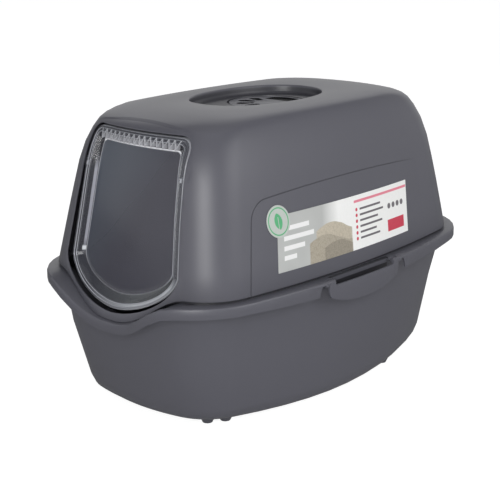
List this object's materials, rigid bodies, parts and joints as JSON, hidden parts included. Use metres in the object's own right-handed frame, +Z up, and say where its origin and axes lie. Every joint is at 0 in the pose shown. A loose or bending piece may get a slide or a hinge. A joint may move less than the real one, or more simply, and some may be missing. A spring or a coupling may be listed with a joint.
{
  "type": "hooded litter box with a swing flap",
  "caption": "Deep oval tray with a lift-off hood: clear swing flap at the front, round vent with a filter pad in the roof hollow, and a grip clip on each side.",
  "frame": {"origin": "middle of the underside, on the surface that the feet stand on", "axes": "+Y from the front with the flap to the back, +X to the right seen from the front, +Z up"},
  "size_m": [0.352, 0.5643, 0.361],
  "materials": {
    "grey_plastic": "satin moulded plastic",
    "clear_plastic": "clear moulded plastic",
    "carbon_felt": "black carbon felt",
    "label_film": "printed film",
    "green_film": "printed film"
  },
  "bodies": {
    "tray": {"tray": "grey_plastic"},
    "hood": {"hood": "grey_plastic", "filter_pad": "carbon_felt", "side_label": "label_film", "round_sticker": "green_film"},
    "flap": {"door_flap": "clear_plastic"},
    "right_clip": {"clip_right": "grey_plastic"},
    "left_clip": {"clip_left": "grey_plastic"},
    "vent": {"vent_cover": "grey_plastic"}
  },
  "joints": [
    {"name": "hood_lift", "type": "slide", "parent": "tray", "child": "hood", "axis": [0, 0, 1], "range_m": [0, 0.22]},
    {"name": "flap_swing", "type": "hinge", "parent": "hood", "child": "flap", "pos_m": [0, -0.22254, 0.2975], "axis": [1, 0, 0], "range_deg": [-70, 70]},
    {"name": "right_clip_swing", "type": "hinge", "parent": "tray", "child": "right_clip", "pos_m": [0.1709, -0.01381, 0.1642], "axis": [-0.0122, -0.9999, 0], "range_deg": [0, 60]},
    {"name": "left_clip_swing", "type": "hinge", "parent": "tray", "child": "left_clip", "pos_m": [-0.1709, -0.01381, 0.1642], "axis": [-0.0122, 0.9999, 0], "range_deg": [0, 60]},
    {"name": "vent_lift", "type": "slide", "parent": "hood", "child": "vent", "axis": [0, 0, 1], "range_m": [0, 0.05]}
  ]
}
